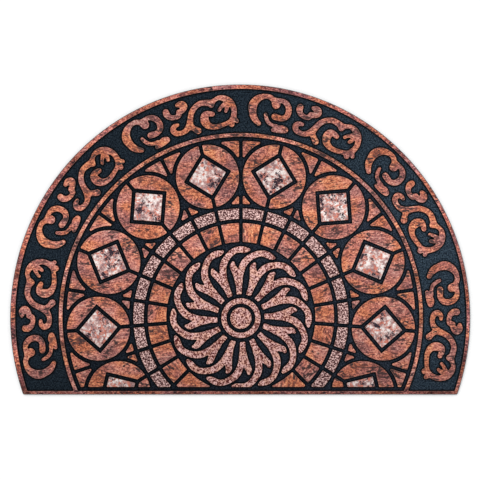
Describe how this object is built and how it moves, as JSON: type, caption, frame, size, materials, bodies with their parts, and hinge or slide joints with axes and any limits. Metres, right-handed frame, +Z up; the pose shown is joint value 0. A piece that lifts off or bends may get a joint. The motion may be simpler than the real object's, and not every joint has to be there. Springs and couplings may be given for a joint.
{
  "type": "doormat",
  "caption": "Half-round rubber doormat with a raised mosaic relief: a whirling rosette inside rings of tiles and circles, and a scrolled border, laid flat on the floor.",
  "frame": {"origin": "the floor under the middle of the mat's outline, on the flat underside", "axes": "+X along the straight edge, +Y from the straight edge to the crown of the arc, +Z up"},
  "size_m": [0.9138, 0.6162, 0.008],
  "materials": {
    "black_rubber": "matt recycled rubber",
    "copper_flock": "printed flock, copper stone",
    "rose_granite_flock": "printed flock, rose granite",
    "speckled_flock": "printed flock, dark-specked stone",
    "marble_flock": "printed flock, pale marble"
  },
  "bodies": {
    "root": {"doormat": "black_rubber"}
  },
  "joints": []
}
